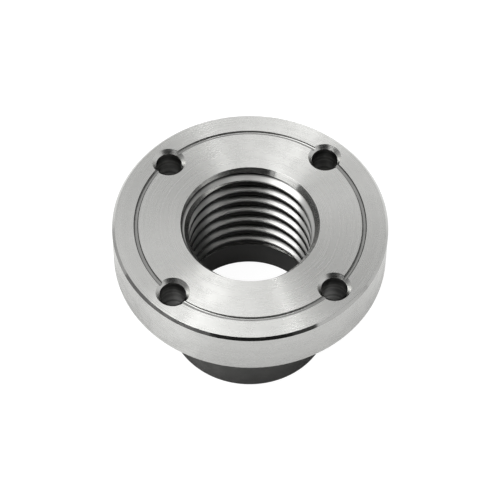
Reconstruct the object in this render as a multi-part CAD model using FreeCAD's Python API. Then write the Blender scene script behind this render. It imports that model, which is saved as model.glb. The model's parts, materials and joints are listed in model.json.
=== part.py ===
import FreeCAD, Part
import math
import os

# A small threaded faceplate for a wood lathe, turned from one piece of steel.
# A round flange with four countersunk screw holes stands on a plain hub. A coarse right-hand
# thread runs down from the front face. Below it a relief groove and a plain register bore
# finish the hole, which is open at both ends.
# All sizes are in millimetres. The origin is the centre of the hub's end, and +Z runs
# through the bore towards the front face.

# Flange and hub
flange_diameter = 50.8
flange_thickness = 9.525
hub_length = 22.225
hub_wall = 2.5
front_rim_chamfer = 0.5

# Spindle thread, one inch across and eight turns to the inch, with 60 degree flanks.
# The core is bored a little large, so the thread has less than its full depth.
thread_pitch = 25.4 / 8
thread_major_diameter = 25.4
thread_flank_angle = 60.0
thread_depth_fraction = 0.785
thread_start_angle = 243.6

# Bore ends, with radial clearances over the thread's major radius
mouth_clearance = 0.13
register_clearance = 0.225
register_length = 6.35
register_mouth_chamfer = 0.4
relief_extra_depth = 0.3

# Wood-screw holes through the flange
hole_count = 4
hole_edge_distance = 4.7625
hole_diameter = 4.8
countersink_width = 0.7
countersink_angle = 90.0
first_hole_angle = 45.0

# Ring groove turned in the front face, just outside the circle of the hole centres
groove_offset = 0.35
groove_width = 0.8
groove_depth = 0.4

# Cutters run this far past the surface that they break through
cutter_overrun = 1.0

# Sizes that follow from the values above
overall_height = hub_length + flange_thickness
flange_radius = flange_diameter / 2
flank_slope = math.tan(math.radians(thread_flank_angle / 2))
sharp_thread_height = thread_pitch / (2 * flank_slope)
thread_root_flat = thread_pitch / 8
thread_depth = thread_depth_fraction * sharp_thread_height * 5 / 8
major_radius = thread_major_diameter / 2
minor_radius = major_radius - thread_depth
mouth_radius = major_radius + mouth_clearance
register_radius = major_radius + register_clearance
relief_radius = register_radius + relief_extra_depth
relief_width = thread_pitch
thread_end_height = register_length + relief_width
hub_radius = register_radius + hub_wall
hole_circle_radius = flange_radius - hole_edge_distance
groove_radius = hole_circle_radius + groove_offset

part_folder = "parts"
axis_start = FreeCAD.Vector(0, 0, 0)
axis_direction = FreeCAD.Vector(0, 0, 1)


def section_point(radius, height):
    return FreeCAD.Vector(radius, 0, height)


def section_face(points):
    """A flat face in the XZ plane from radius and height pairs."""
    corners = [section_point(radius, height) for radius, height in points]
    return Part.Face(Part.makePolygon(corners + corners[:1]))


def turned_solid(points):
    """A solid turned about Z from a closed section."""
    return section_face(points).revolve(axis_start, axis_direction, 360)


def make_blank():
    """The turned outside: the plain hub, and the flange with its front edge chamfered."""
    return turned_solid([
        (0, 0),
        (hub_radius, 0),
        (hub_radius, hub_length),
        (flange_radius, hub_length),
        (flange_radius, overall_height - front_rim_chamfer),
        (flange_radius - front_rim_chamfer, overall_height),
        (0, overall_height),
    ])


def make_bore_cutter():
    """The through bore: register, relief groove, thread core and 45 degree mouth."""
    mouth_depth = mouth_radius - minor_radius
    return turned_solid([
        (0, -cutter_overrun),
        (register_radius + register_mouth_chamfer + cutter_overrun, -cutter_overrun),
        (register_radius, register_mouth_chamfer),
        (register_radius, register_length),
        (relief_radius, register_length),
        (relief_radius, thread_end_height),
        (minor_radius, thread_end_height),
        (minor_radius, overall_height - mouth_depth),
        (mouth_radius + cutter_overrun, overall_height + cutter_overrun),
        (0, overall_height + cutter_overrun),
    ])


def helix_edge(radius, height, turn):
    """One turn of a right-hand helix, raised by the given height and number of turns."""
    edge = Part.makeHelix(thread_pitch, thread_pitch, radius)
    edge.translate(FreeCAD.Vector(0, 0, height + turn * thread_pitch))
    return edge.Edges[0]


def make_thread_cutter():
    """The space between the thread's turns, a trapezoid that winds through the whole bore.

    Each side of the trapezoid is ruled between two helices, so the flanks stay straight in
    section. Each flank also has a helix halfway up, at the middle of the thread's depth.
    It starts below the relief groove and ends above the front face, so both ends run out.
    """
    crest_flat = thread_pitch - thread_root_flat - 2 * thread_depth * flank_slope
    core_overrun = crest_flat / 4
    section_radii = [minor_radius - core_overrun, major_radius - thread_depth / 2, major_radius]
    lower_side = [
        (radius, -thread_root_flat / 2 - (major_radius - radius) * flank_slope)
        for radius in section_radii
    ]
    upper_side = [(radius, -height) for radius, height in reversed(lower_side)]
    corners = lower_side + upper_side
    start_height = thread_end_height - thread_pitch
    turns = math.ceil((overall_height - start_height) / thread_pitch) + 1
    faces = []
    for turn in range(turns):
        helices = [helix_edge(radius, height, turn) for radius, height in corners]
        for lower, upper in zip(helices, helices[1:] + helices[:1]):
            faces.append(Part.makeRuledSurface(lower, upper))
    for end_height in (0, turns * thread_pitch):
        end_face = section_face(corners)
        end_face.translate(FreeCAD.Vector(0, 0, end_height))
        faces.append(end_face)
    skin = Part.makeShell(faces)
    skin.sewShape()
    cutter = Part.makeSolid(skin)
    if cutter.Volume < 0:
        cutter.reverse()
    cutter.rotate(axis_start, axis_direction, thread_start_angle)
    cutter.translate(FreeCAD.Vector(0, 0, start_height))
    return cutter


def make_groove_cutter():
    """The shallow square ring groove in the front face."""
    inner_radius = groove_radius - groove_width / 2
    outer_radius = groove_radius + groove_width / 2
    return turned_solid([
        (inner_radius, overall_height - groove_depth),
        (outer_radius, overall_height - groove_depth),
        (outer_radius, overall_height + cutter_overrun),
        (inner_radius, overall_height + cutter_overrun),
    ])


def make_screw_hole_cutter():
    """One through hole with its countersink, standing on Z."""
    hole_radius = hole_diameter / 2
    countersink_radius = hole_radius + countersink_width
    cone_slope = math.tan(math.radians(countersink_angle / 2))
    countersink_depth = countersink_width / cone_slope
    return turned_solid([
        (0, hub_length - cutter_overrun),
        (hole_radius, hub_length - cutter_overrun),
        (hole_radius, overall_height - countersink_depth),
        (countersink_radius + cutter_overrun * cone_slope, overall_height + cutter_overrun),
        (0, overall_height + cutter_overrun),
    ])


def make_screw_hole_cutters():
    """The ring of screw holes, spaced evenly on their circle."""
    cutters = []
    for index in range(hole_count):
        cutter = make_screw_hole_cutter()
        cutter.translate(FreeCAD.Vector(hole_circle_radius, 0, 0))
        hole_angle = first_hole_angle + index * 360 / hole_count
        cutter.rotate(axis_start, axis_direction, hole_angle)
        cutters.append(cutter)
    return cutters


def make_faceplate():
    faceplate = make_blank().cut(make_bore_cutter())
    faceplate = faceplate.cut(make_groove_cutter())
    for cutter in make_screw_hole_cutters():
        faceplate = faceplate.cut(cutter)
    faceplate = faceplate.cut(make_thread_cutter())
    return faceplate.Solids[0]


os.makedirs(part_folder, exist_ok=True)
faceplate = make_faceplate()
faceplate.exportStep(part_folder + "/faceplate.step")
print("faceplate valid", faceplate.isValid(), "volume", round(faceplate.Volume, 1), "mm3")
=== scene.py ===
import json
import math

import bpy
import numpy as np
from mathutils import Matrix, Vector


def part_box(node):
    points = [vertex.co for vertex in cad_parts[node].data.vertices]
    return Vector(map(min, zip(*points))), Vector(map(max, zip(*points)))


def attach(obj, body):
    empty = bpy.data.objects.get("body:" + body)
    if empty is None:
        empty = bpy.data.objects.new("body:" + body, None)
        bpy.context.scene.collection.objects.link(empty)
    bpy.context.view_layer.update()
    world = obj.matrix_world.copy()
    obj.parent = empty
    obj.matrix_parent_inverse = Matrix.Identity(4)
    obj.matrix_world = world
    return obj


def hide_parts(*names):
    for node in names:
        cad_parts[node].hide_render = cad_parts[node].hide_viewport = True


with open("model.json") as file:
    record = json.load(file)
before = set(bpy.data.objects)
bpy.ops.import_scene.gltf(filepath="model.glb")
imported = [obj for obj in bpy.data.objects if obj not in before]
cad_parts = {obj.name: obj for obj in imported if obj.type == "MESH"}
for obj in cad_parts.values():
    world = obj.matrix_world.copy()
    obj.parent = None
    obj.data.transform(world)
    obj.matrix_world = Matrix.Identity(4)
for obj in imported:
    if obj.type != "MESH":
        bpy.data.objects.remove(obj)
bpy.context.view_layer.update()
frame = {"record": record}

# A small threaded faceplate for a wood lathe, turned from one piece of steel.
# Sizes are worked out in millimetres, in the part's own frame, and meshes are made in metres.

MM = 0.001
NODE = "faceplate"


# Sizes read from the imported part

def mount(name):
    return next(item for item in frame["record"]["mounts"] if item["name"] == name)


low_corner, high_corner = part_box(NODE)
overall_height = high_corner.z / MM
flange_radius = min(high_corner.x, high_corner.y, -low_corner.x, -low_corner.y) / MM
thread_dims = mount("spindle_thread")["dims"]
register_dims = mount("register_bore")["dims"]
screw_dims = mount("screw_holes")["dims"]
minor_radius = thread_dims["r_mm"]
register_radius = register_dims["r_mm"]
hole_radius = screw_dims["hole_r_mm"]
hole_circle_radius = screw_dims["pcd_mm"] / 2
hole_count = screw_dims["count"]

# Sizes that the record doesn't hold

hub_length = 22.225
hub_wall = 2.5
neck_radius = 0.4
front_rim_chamfer = 0.5
back_rim_break = 0.2
hub_end_chamfer = 0.4
register_mouth_chamfer = 0.4
edge_break = 0.05

thread_pitch = 25.4 / 8
thread_rise_per_radian = thread_pitch / (2 * math.pi)
thread_major_radius = 12.7
thread_flank_slope = math.tan(math.radians(30))
thread_root_flat = thread_pitch / 8
thread_root_fillet = 0.15
thread_crest_fillet = 0.35
thread_start_angle = 243.6
thread_core_stock = 0.35

mouth_clearance = 0.13
mouth_cone_slope = 1.6
relief_extra_depth = 0.3
register_length = 6.35
relief_width = thread_pitch

groove_offset = 0.35
groove_width = 0.8
groove_depth = 0.4
groove_floor_fillet = 0.3

countersink_width = 0.7
first_hole_angle = 45.0

# Cutters run this far past the surface that they break through
cutter_overrun = 1.0

hub_radius = register_radius + hub_wall
mouth_radius = thread_major_radius + mouth_clearance
relief_radius = register_radius + relief_extra_depth
thread_end_height = register_length + relief_width
core_radius = minor_radius - thread_core_stock
groove_radius = hole_circle_radius + groove_offset
countersink_radius = hole_radius + countersink_width

TURN_STEPS = 288
HOLE_STEPS = 96
ARC_STEPS = 4

# Places of the finishes in the object's material slots
TURNED, PLAIN, BEVELLED, CONED, GROOVED, CRESTED, THREADED, DRILLED, SUNK = range(9)


# Mesh building. Each mesh carries the true direction of its surface at every corner of every
# face, through the cuts, so that curved faces shade smoothly and edges stay crisp.

TRUE_NORMAL = "true_normal"


def mesh_object(name, points, faces, normals, face_finishes):
    mesh = bpy.data.meshes.new(name)
    mesh.from_pydata((np.asarray(points) * MM).tolist(), [], faces)
    layer = mesh.attributes.new(TRUE_NORMAL, "FLOAT_VECTOR", "CORNER")
    layer.data.foreach_set("vector", np.asarray(normals, dtype=float).ravel())
    for material in finishes:
        mesh.materials.append(material)
    mesh.polygons.foreach_set("material_index", face_finishes)
    thing = bpy.data.objects.new(name, mesh)
    bpy.context.scene.collection.objects.link(thing)
    return thing


def fillet_arc(here, back, onward, fillet):
    """Centre and spokes of the arc that rounds the corner between two directions."""
    half_angle = math.acos(np.clip(back @ onward, -1, 1)) / 2
    reach = fillet / math.tan(half_angle)
    bisector = (back + onward) / np.linalg.norm(back + onward)
    centre = here + bisector * fillet / math.sin(half_angle)
    start = here + back * reach - centre
    end = here + onward * reach - centre
    sweep = math.atan2(start[0] * end[1] - start[1] * end[0], start @ end)
    spokes = []
    for step in range(ARC_STEPS + 1):
        cos_turn = math.cos(sweep * step / ARC_STEPS)
        sin_turn = math.sin(sweep * step / ARC_STEPS)
        spokes.append(np.array([
            start[0] * cos_turn - start[1] * sin_turn,
            start[0] * sin_turn + start[1] * cos_turn,
        ]))
    return centre, spokes


def outline(corners):
    """Points of a closed section, and the outward normals and finish of each of its edges.

    Corners are (radius, height, fillet, finish), anticlockwise. Each fillet becomes a short arc.
    The finish is that of the fillet and of the side after it. Edge number i runs from point i
    to the next one, and its two normals are those at its ends."""
    points, normals, edge_finishes = [], [], []
    for index, (radius, height, fillet, finish) in enumerate(corners):
        here = np.array([radius, height])
        before = np.array(corners[index - 1][:2])
        after = np.array(corners[(index + 1) % len(corners)][:2])
        onward = (after - here) / np.linalg.norm(after - here)
        side = np.array([onward[1], -onward[0]])
        if fillet:
            back = (before - here) / np.linalg.norm(before - here)
            centre, spokes = fillet_arc(here, back, onward, fillet)
            convex = onward[0] * back[1] - onward[1] * back[0] > 0
            outward = 1 if convex else -1
            points += [centre + spoke for spoke in spokes]
            directions = [outward * spoke / fillet for spoke in spokes]
            normals += list(zip(directions, directions[1:]))
            edge_finishes += [finish] * ARC_STEPS
        else:
            points.append(here)
        normals.append((side, side))
        edge_finishes.append(finish)
    return points, normals, edge_finishes


def turned(name, corners, steps, place=(0, 0), outward=1):
    """A closed solid turned about an upright axis from a section that may touch the axis.

    A cutter passes outward=-1, since its faces look the other way once it has cut."""
    section, side_normals, side_finishes = outline(corners)
    angles = [2 * math.pi * step / steps for step in range(steps)]
    circle = [(math.cos(angle), math.sin(angle)) for angle in angles]
    on_axis = [abs(radius) < 1e-9 for radius, height in section]
    points, rings = [], []
    for (radius, height), axial in zip(section, on_axis):
        first = len(points)
        if axial:
            points.append((place[0], place[1], height))
            rings.append([first] * steps)
            continue
        points += [(place[0] + radius * x, place[1] + radius * y, height) for x, y in circle]
        rings.append(list(range(first, first + steps)))
    faces, normals, face_finishes = [], [], []
    for index, ring in enumerate(rings):
        following = (index + 1) % len(rings)
        if on_axis[index] and on_axis[following]:
            continue
        lower, upper = side_normals[index]
        face_finishes += [side_finishes[index]] * steps
        for step in range(steps):
            nearby = (step + 1) % steps
            corners_here = {}
            for corner, turn, (across, up) in (
                (ring[step], step, lower),
                (ring[nearby], nearby, lower),
                (rings[following][nearby], nearby, upper),
                (rings[following][step], step, upper),
            ):
                x, y = circle[turn]
                direction = (outward * across * x, outward * across * y, outward * up)
                corners_here.setdefault(corner, direction)
            faces.append(tuple(corners_here))
            normals += corners_here.values()
    return mesh_object(name, points, faces, normals, face_finishes)


def thread_plug():
    """The space inside the thread as a solid: a core whose outside winds up in crests and roots.

    One pitch of the thread's form runs from the middle of a crest to the middle of the next.
    Its last point at one step is its first point a whole turn later."""
    flank_half = thread_root_flat / 2 + (thread_major_radius - minor_radius) * thread_flank_slope
    form, form_normals, form_finishes = outline([
        (minor_radius, -thread_pitch / 2, 0, CRESTED),
        (minor_radius, -flank_half, thread_crest_fillet, THREADED),
        (thread_major_radius, -thread_root_flat / 2, thread_root_fillet, THREADED),
        (thread_major_radius, thread_root_flat / 2, thread_root_fillet, THREADED),
        (minor_radius, flank_half, thread_crest_fillet, CRESTED),
        (minor_radius, thread_pitch / 2, 0, CRESTED),
    ])
    rows = len(form) - 1
    start_height = thread_end_height - thread_pitch
    turns = math.ceil((overall_height - start_height) / thread_pitch) + 1
    last = turns * TURN_STEPS
    points, numbers, faces, normals, face_finishes = [], {}, [], [], []

    def angle_at(step):
        return math.radians(thread_start_angle) + 2 * math.pi * step / TURN_STEPS

    def corner(step, row):
        if row == rows:
            step, row = step + TURN_STEPS, 0
        if (step, row) not in numbers:
            angle = angle_at(step)
            radius, height = form[row]
            rise = start_height + height + thread_pitch * step / TURN_STEPS
            numbers[step, row] = len(points)
            points.append((radius * math.cos(angle), radius * math.sin(angle), rise))
        return numbers[step, row]

    def direction(step, radius, across, up):
        angle = angle_at(step)
        along = -up * thread_rise_per_radian / radius
        x = across * math.cos(angle) - along * math.sin(angle)
        y = across * math.sin(angle) + along * math.cos(angle)
        size = math.sqrt(across ** 2 + along ** 2 + up ** 2)
        return (-x / size, -y / size, -up / size)

    for step in range(last):
        for row in range(rows):
            lower, upper = form_normals[row]
            faces.append((
                corner(step, row), corner(step + 1, row),
                corner(step + 1, row + 1), corner(step, row + 1),
            ))
            face_finishes.append(form_finishes[row])
            normals += [
                direction(step, form[row][0], *lower),
                direction(step + 1, form[row][0], *lower),
                direction(step + 1, form[row + 1][0], *upper),
                direction(step, form[row + 1][0], *upper),
            ]

    def cap(height, loop):
        centre = len(points)
        points.append((0, 0, height))
        for here, there in loop:
            faces.append((centre, here, there))
            normals.extend([(0, 0, 1)] * 3)
            face_finishes.append(THREADED)

    lower_loop = [(corner(step + 1, 0), corner(step, 0)) for step in range(TURN_STEPS)]
    lower_loop += [(corner(0, row), corner(0, row + 1)) for row in range(rows)]
    cap(start_height, lower_loop)
    last_turn = range(last - TURN_STEPS, last)
    upper_loop = [(corner(step, rows), corner(step + 1, rows)) for step in last_turn]
    upper_loop += [(corner(last, row + 1), corner(last, row)) for row in range(rows)]
    cap(start_height + turns * thread_pitch, upper_loop)
    return mesh_object("thread_plug", points, faces, normals, face_finishes)


def hole_cutter(index):
    """One screw hole with its countersink, a 90 degree cone, so as deep as it is wide."""
    angle = math.radians(first_hole_angle + index * 360 / hole_count)
    place = (hole_circle_radius * math.cos(angle), hole_circle_radius * math.sin(angle))
    return turned("hole_cutter", [
        (0, hub_length - cutter_overrun, 0, DRILLED),
        (hole_radius, hub_length - cutter_overrun, 0, DRILLED),
        (hole_radius, overall_height - countersink_width, edge_break, SUNK),
        (countersink_radius + cutter_overrun, overall_height + cutter_overrun, 0, SUNK),
        (0, overall_height + cutter_overrun, 0, SUNK),
    ], HOLE_STEPS, place, -1)


def blank():
    """All that is turned on one axis, with a core bore that the thread is still to be cut from."""
    fine = edge_break
    mouth_cone_depth = (mouth_radius - core_radius) * mouth_cone_slope
    groove_outside = groove_radius + groove_width / 2
    groove_inside = groove_radius - groove_width / 2
    return turned("faceplate_body", [
        (register_radius + register_mouth_chamfer, 0, fine, TURNED),
        (hub_radius - hub_end_chamfer, 0, fine, BEVELLED),
        (hub_radius, hub_end_chamfer, fine, PLAIN),
        (hub_radius, hub_length, neck_radius, PLAIN),
        (flange_radius, hub_length, back_rim_break, TURNED),
        (flange_radius, overall_height - front_rim_chamfer, fine, BEVELLED),
        (flange_radius - front_rim_chamfer, overall_height, fine, TURNED),
        (groove_outside, overall_height, fine, GROOVED),
        (groove_outside, overall_height - groove_depth, groove_floor_fillet, GROOVED),
        (groove_inside, overall_height - groove_depth, groove_floor_fillet, GROOVED),
        (groove_inside, overall_height, fine, TURNED),
        (mouth_radius, overall_height, fine, CONED),
        (core_radius, overall_height - mouth_cone_depth, 0, PLAIN),
        (core_radius, thread_end_height, 0, PLAIN),
        (relief_radius, thread_end_height, fine, PLAIN),
        (relief_radius, register_length, fine, PLAIN),
        (register_radius, register_length, fine, PLAIN),
        (register_radius, register_mouth_chamfer, fine, BEVELLED),
    ], TURN_STEPS)


def cut(thing, cutter):
    """Takes the cutter's solid out of the thing's mesh and deletes the cutter."""
    change = thing.modifiers.new("cut", "BOOLEAN")
    change.operation = "DIFFERENCE"
    change.solver = "EXACT"
    change.object = cutter
    graph = bpy.context.evaluated_depsgraph_get()
    mesh = bpy.data.meshes.new_from_object(thing.evaluated_get(graph))
    thing.modifiers.clear()
    thing.data = mesh
    bpy.data.objects.remove(cutter)


def shade(mesh):
    """Turns the directions carried by the corners into the mesh's own shading normals."""
    layer = mesh.attributes[TRUE_NORMAL]
    directions = np.empty(len(mesh.loops) * 3)
    layer.data.foreach_get("vector", directions)
    directions = directions.reshape(-1, 3)
    directions /= np.linalg.norm(directions, axis=1, keepdims=True)
    mesh.attributes.remove(layer)
    mesh.polygons.foreach_set("use_smooth", [True] * len(mesh.polygons))
    mesh.normals_split_custom_set(directions.tolist())


# Materials

class Nodes:
    """Writes a node tree. Each call makes one node and gives back one of its outputs."""

    def __init__(self, owner):
        owner.use_nodes = True
        self.tree = owner.node_tree
        self.tree.nodes.clear()

    def add(self, kind, inputs=(), output=0, **settings):
        node = self.tree.nodes.new("ShaderNode" + kind)
        for name, value in settings.items():
            setattr(node, name, value)
        for socket, value in dict(inputs).items():
            if isinstance(value, bpy.types.NodeSocket):
                self.tree.links.new(value, node.inputs[socket])
            else:
                node.inputs[socket].default_value = value
        return node.outputs[output] if output is not None else node

    def math(self, operation, *values):
        return self.add("Math", enumerate(values), operation=operation)

    def vector(self, x, y, z):
        return self.add("CombineXYZ", {"X": x, "Y": y, "Z": z})

    def noise(self, vector, scale, detail=2.0):
        """Noise about 0.5. The vector is in millimetres and the scale in waves for each of them."""
        return self.add("TexNoise", {"Vector": vector, "Scale": scale, "Detail": detail})

    def spread(self, value, low, high):
        """Noise brought to a range: its usual swing, 0.3 to 0.7, becomes low to high."""
        return self.add("MapRange", {
            "Value": value, "From Min": 0.3, "From Max": 0.7, "To Min": low, "To Max": high,
        }, clamp=False)

    def gray(self, value, tint):
        """A gray of the given level, made slightly warm or cool by the tint."""
        level = self.vector(value, value, value)
        return self.add("VectorMath", {0: level, 1: tint}, operation="MULTIPLY")


STEEL_TINT = (1.0, 1.0, 0.975)
QUARTER_TURN = 0.25

# Tool marks and unevenness of the steel. Scales are in waves for each millimetre, the wander's
# reach is in millimetres, and the swings are in reflectance or roughness.
fine_mark_scale = 5.0
feed_mark_scale = 1.1
cloud_scale = 0.35
wander_scale = 0.12
wander_reach = 0.15
cloud_swing = 0.02
roughness_swing = 0.03
feed_mark_weight = 2.0

# Painted shade: the thread's reflectance falls from here, in radius, down to its root, where the
# ridges shade it. Its first turn, above the lit height, is more open to light, so there the shade
# begins nearer to the root by a margin.
root_shade_start = 11.9
root_shade_end = 12.25
root_shade_share = 0.15
lit_turn_height = 28.8
lit_turn_fade = 0.6
lit_turn_margin = 0.3


def thread_path(nodes, x, y, z, radius):
    """A place that is the same all along one helix, so that the marks wind with the thread."""
    rise = nodes.math("DIVIDE", z, thread_rise_per_radian)
    phase = nodes.math("SUBTRACT", rise, nodes.math("ARCTAN2", y, x))
    return nodes.vector(
        nodes.math("MULTIPLY", nodes.math("SINE", phase), thread_rise_per_radian),
        nodes.math("MULTIPLY", nodes.math("COSINE", phase), thread_rise_per_radian),
        radius,
    )


def darkened_toward_root(nodes, radius, z, level):
    """The reflectance of the thread's steel, which falls towards its root as painted shade."""
    margin = nodes.add("MapRange", {
        "Value": z, "From Min": lit_turn_height - lit_turn_fade, "From Max": lit_turn_height,
        "To Min": 0.0, "To Max": lit_turn_margin,
    })
    return nodes.add("MapRange", {
        "Value": nodes.math("SUBTRACT", radius, margin),
        "From Min": root_shade_start, "From Max": root_shade_end,
        "To Min": level, "To Max": level * root_shade_share,
    })


def machined_steel(name, marks, level, roughness, anisotropic, relief, banding=0.012):
    """Bare steel with tool marks, which are turned, threaded, or drilled about each hole's axis.

    The level is the metal's reflectance, and the banding is its swing from ring to ring. The
    relief is the depth of the marks in micrometres."""
    material = bpy.data.materials.new(name)
    nodes = Nodes(material)
    place = nodes.add("VectorMath", {
        0: nodes.add("TexCoord", output="Object"), "Scale": 1 / MM,
    }, operation="SCALE")
    x, y, z = nodes.add("SeparateXYZ", {"Vector": place}, output=None).outputs
    if marks == "drilled":
        middle = hole_circle_radius * math.cos(math.radians(first_hole_angle))
        x = nodes.math("SUBTRACT", x, nodes.math("MULTIPLY", nodes.math("SIGN", x), middle))
        y = nodes.math("SUBTRACT", y, nodes.math("MULTIPLY", nodes.math("SIGN", y), middle))
    outward = nodes.vector(x, y, 0.0)
    radius = nodes.add("VectorMath", {0: outward}, output="Value", operation="LENGTH")
    wander = nodes.spread(nodes.noise(place, wander_scale, 1.0), -wander_reach, wander_reach)
    wandering_radius = nodes.math("ADD", radius, wander)
    if marks == "threaded":
        path = thread_path(nodes, x, y, z, wandering_radius)
        # The thread's reflectance carries a painted shade towards its root
        level = darkened_toward_root(nodes, radius, z, level)
    else:
        path = nodes.vector(wandering_radius, z, 0.0)
    fine = nodes.noise(path, fine_mark_scale)
    feed = nodes.noise(path, feed_mark_scale)
    cloud = nodes.spread(nodes.noise(place, cloud_scale, 4.0), -cloud_swing, cloud_swing)
    mottle = nodes.math("ADD", cloud, nodes.spread(feed, -banding, banding))
    tone = nodes.math("ADD", mottle, level)
    streaks = nodes.spread(fine, roughness - roughness_swing, roughness + roughness_swing)
    rough = nodes.math("ADD", cloud, streaks)
    height = nodes.math("ADD", fine, nodes.math("MULTIPLY", feed, feed_mark_weight))
    bump = nodes.add("Bump", {"Strength": 1.0, "Distance": relief * MM * MM, "Height": height})
    settings = {
        "Base Color": nodes.gray(tone, STEEL_TINT),
        "Metallic": 1.0,
        "Roughness": rough,
        "Normal": bump,
        "Anisotropic": anisotropic,
    }
    if marks == "drilled":
        upright = (0.0, 0.0, 1.0)
        around = nodes.add("VectorMath", {0: upright, 1: outward}, operation="CROSS_PRODUCT")
        settings["Tangent"] = around
    else:
        settings["Tangent"] = nodes.add("Tangent", direction_type="RADIAL", axis="Z")
        settings["Anisotropic Rotation"] = QUARTER_TURN
    shader = nodes.add("BsdfPrincipled", settings)
    nodes.add("OutputMaterial", {"Surface": shader}, output=None)
    return material


finishes = [
    machined_steel("turned_steel", "turned", 0.53, 0.28, 1.0, 0.5),
    machined_steel("plain_steel", "turned", 0.5, 0.22, 0.9, 0.3),
    machined_steel("bevelled_steel", "turned", 0.43, 0.12, 0.8, 0.3),
    machined_steel("coned_steel", "turned", 0.47, 0.2, 0.8, 0.8),
    # The groove's low reflectance is painted shade in the recess
    machined_steel("grooved_steel", "turned", 0.26, 0.22, 0.8, 0.3),
    # The crest land's low reflectance is painted shade, for the dark it sees inside the bore
    machined_steel("crested_steel", "turned", 0.15, 0.22, 0.8, 0.3),
    machined_steel("threaded_steel", "threaded", 0.5, 0.35, 0.9, 0.6),
    # The holes' low reflectance is painted shade inside them
    machined_steel("drilled_steel", "drilled", 0.22, 0.32, 0.7, 14.0, 0.12),
    machined_steel("sunk_steel", "drilled", 0.5, 0.25, 0.8, 3.0),
]

body = blank()
cut(body, thread_plug())
for index in range(hole_count):
    cut(body, hole_cutter(index))
shade(body.data)

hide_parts(NODE)
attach(body, "root")

# Camera, at the angle that the photograph was taken from. Its distance is to the middle of the
# front face, which appears right of and above the picture's middle by the next two values. All
# three are in millimetres.

camera_distance = 447.8
face_right = -0.01
face_up = 4.91
camera_elevation = math.radians(55.32)
camera_roll = math.radians(-0.57)
camera_turn = math.radians(-2.9)
camera_lens = 175.5


def place_camera():
    across = Vector((1, 0, 0))
    upward = Vector((0, math.sin(camera_elevation), math.cos(camera_elevation)))
    forward = Vector((0, math.cos(camera_elevation), -math.sin(camera_elevation)))
    place = -(face_right * across + face_up * upward + camera_distance * forward)
    rolled_across = math.cos(camera_roll) * across - math.sin(camera_roll) * upward
    rolled_upward = math.sin(camera_roll) * across + math.cos(camera_roll) * upward
    axes = Matrix((rolled_across, rolled_upward, -forward)).transposed()
    turn = Matrix.Rotation(camera_turn, 4, "Z")
    data = bpy.data.cameras.new("camera")
    data.lens = camera_lens
    data.sensor_width = 36
    data.clip_start = 0.05
    data.clip_end = 10
    camera = bpy.data.objects.new("camera", data)
    bpy.context.scene.collection.objects.link(camera)
    top = Matrix.Translation((0, 0, overall_height * MM))
    camera.matrix_world = top @ turn @ Matrix.Translation(place * MM) @ axes.to_4x4()
    bpy.context.scene.camera = camera


place_camera()

# Studio. Headings are in degrees about the object: 0 is to the camera's right, 90 is away from
# the camera and 180 is to its left. The floor's gap below the part and the radii over which the
# floor's painted shadow fades out are in millimetres, and the other lengths are in metres.

floor_radius = 1.5
floor_gap = 0.02
floor_color = 0.4
# The floor's darker colour in its painted shadow near the object
painted_shadow_floor_color = 0.16
floor_glow = 0.95
# Radii over which the floor's painted shadow fades out
painted_shadow_fade_start = 34.3
painted_shadow_fade_end = 46.4
ambient_level = 0.6
stand_off = 0.7
inner_stand_off = stand_off * 0.98
near_stand_off = 0.3

# Power in watts of each square metre of a lamp that is as bright as plain white
white_power = 4

FLOOR_STEPS = 64
CARD_COLUMNS = 24
CARD_ROWS = 12


def toward(heading, elevation):
    """The direction from the object at a heading and an elevation in degrees."""
    turned_heading = math.radians(heading) + camera_turn
    level = math.cos(math.radians(elevation))
    return Vector((
        level * math.cos(turned_heading),
        level * math.sin(turned_heading),
        math.sin(math.radians(elevation)),
    ))


def ray_kinds(nodes):
    """Two outputs: 1 for glossy rays, and 1 for camera rays and transmission rays."""
    rays = nodes.add("LightPath", output=None).outputs
    straight = nodes.math("MAXIMUM", rays["Is Camera Ray"], rays["Is Transmission Ray"])
    return rays["Is Glossy Ray"], straight


def make_world():
    """White where the camera or a reflection meets it, and less bright as a light."""
    world = bpy.data.worlds.new("world")
    bpy.context.scene.world = world
    nodes = Nodes(world)
    seen = nodes.math("MAXIMUM", *ray_kinds(nodes))
    level = nodes.add("MapRange", {"Value": seen, "To Min": ambient_level, "To Max": 1.0})
    light = nodes.add("Background", {"Color": (1, 1, 1, 1), "Strength": level})
    nodes.add("OutputWorld", {"Surface": light}, output=None)


def stage_object(name, mesh):
    thing = bpy.data.objects.new(name, mesh)
    bpy.context.scene.collection.objects.link(thing)
    return thing


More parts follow.
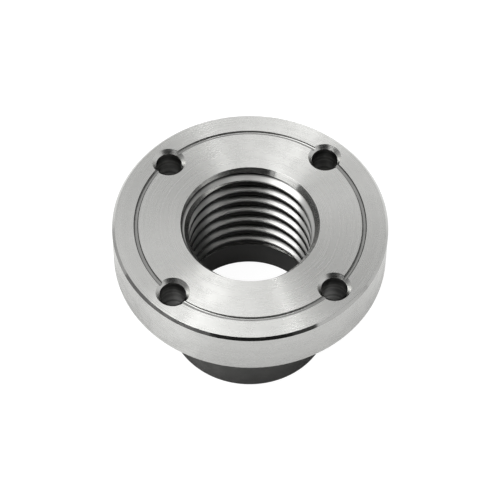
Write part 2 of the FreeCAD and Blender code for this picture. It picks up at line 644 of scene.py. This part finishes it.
def make_floor():
    """A white floor that metal sees glow, apart from a painted shadow under the flange and close to
    it.
    """
    rim = []
    for step in range(FLOOR_STEPS):
        angle = 2 * math.pi * step / FLOOR_STEPS
        x = floor_radius * math.cos(angle)
        y = floor_radius * math.sin(angle)
        rim.append((x, y, -floor_gap * MM))
    mesh = bpy.data.meshes.new("floor")
    mesh.from_pydata(rim, [], [tuple(range(FLOOR_STEPS))])
    material = bpy.data.materials.new("floor")
    nodes = Nodes(material)
    glossy, straight = ray_kinds(nodes)
    place = nodes.add("NewGeometry", output="Position")
    distance = nodes.add("VectorMath", {0: place}, output="Value", operation="LENGTH")
    # Painted shadow mask: 0 under and near the object, where the floor loses its glow and darkens
    clear = nodes.add("MapRange", {
        "Value": distance, "From Min": painted_shadow_fade_start * MM, "From Max": painted_shadow_fade_end * MM,
    }, interpolation_type="SMOOTHSTEP")
    reflected_glow = nodes.math("MULTIPLY", glossy, clear)
    seen_glow = nodes.math("MULTIPLY", straight, floor_glow)
    glow = nodes.math("ADD", reflected_glow, seen_glow)
    # Painted shadow: the floor's colour is darker under and near the object
    floor_color_with_painted_shadow = nodes.add("MapRange", {
        "Value": clear, "To Min": painted_shadow_floor_color, "To Max": floor_color,
    })
    matte = nodes.add("BsdfDiffuse", {"Color": floor_color_with_painted_shadow})
    shine = nodes.add("Emission", {"Color": (1, 1, 1, 1), "Strength": glow})
    surface = nodes.add("AddShader", {0: matte, 1: shine})
    nodes.add("OutputMaterial", {"Surface": surface}, output=None)
    mesh.materials.append(material)
    stage_object("floor", mesh)


def make_card(name, headings, elevations, level, distance=stand_off):
    """A curved studio card about the object, which only the metal's reflections see."""
    points = []
    for row in range(CARD_ROWS + 1):
        elevation = elevations[0] + (elevations[1] - elevations[0]) * row / CARD_ROWS
        for column in range(CARD_COLUMNS + 1):
            heading = headings[0] + (headings[1] - headings[0]) * column / CARD_COLUMNS
            points.append(toward(heading, elevation) * distance)
    faces = []
    for row in range(CARD_ROWS):
        for column in range(CARD_COLUMNS):
            first = row * (CARD_COLUMNS + 1) + column
            above = first + CARD_COLUMNS + 1
            faces.append((first, first + 1, above + 1, above))
    mesh = bpy.data.meshes.new(name)
    mesh.from_pydata(points, [], faces)
    material = bpy.data.materials.new(name)
    nodes = Nodes(material)
    glow = nodes.add("Emission", {"Color": (1, 1, 1, 1), "Strength": level})
    nodes.add("OutputMaterial", {"Surface": glow}, output=None)
    mesh.materials.append(material)
    card = stage_object(name, mesh)
    card.visible_camera = False
    card.visible_diffuse = False


def make_lamp(name, place, rotation, width, height, radiance):
    """A flat lamp that the camera doesn't see. Its size is in metres, its radiance in whites."""
    data = bpy.data.lights.new(name, "AREA")
    data.shape = "RECTANGLE"
    data.size = width
    data.size_y = height
    data.energy = white_power * width * height * radiance
    lamp = bpy.data.objects.new(name, data)
    bpy.context.scene.collection.objects.link(lamp)
    lamp.location = place
    lamp.rotation_euler = rotation
    lamp.visible_camera = False


def make_softbox(name, heading, elevation, width, height, radiance):
    """A broad lamp that looks at the object."""
    away = toward(heading, elevation)
    rotation = away.to_track_quat("Z", "Y").to_euler()
    make_lamp(name, away * stand_off, rotation, width, height, radiance)


def make_strip(name, start, end, height, width, radiance):
    """A straight lamp overhead, between two places given as metres to the right and away."""
    turn = Matrix.Rotation(camera_turn, 4, "Z")
    first = turn @ Vector((start[0], start[1], height))
    last = turn @ Vector((end[0], end[1], height))
    run = last - first
    rotation = (0, 0, math.atan2(run.y, run.x))
    make_lamp(name, (first + last) / 2, rotation, run.length, width, radiance)


make_world()
make_floor()
make_card("front_card", (243, 300), (1, 71), 0.02)
make_card("right_card", (300, 317), (1, 68), 0.07)
make_card("right_low_card", (317, 356), (0.05, 19), 0.2, near_stand_off)
make_card("right_high_card", (317, 338), (44, 68), 0.1)
make_card("far_right_card", (350, 417), (32, 70), 0.15)
make_card("back_card", (57, 238), (0.5, 25), 0.3)
make_card("left_card", (178, 243), (16, 36), 0.16)
make_card("left_low_card", (138, 176), (0.5, 18), 0.7, inner_stand_off)
make_card("low_card", (201, 236), (0.1, 18), 2.3, inner_stand_off)
make_softbox("key", 206, 56, 0.34, 0.48, 3.4)
make_softbox("top", 150, 86, 0.42, 0.3, 1.35)
make_strip("strip", (0.08, 0.2), (0.28, -0.4), 0.7, 0.008, 10.0)

bpy.context.scene.view_settings.view_transform = "Standard"
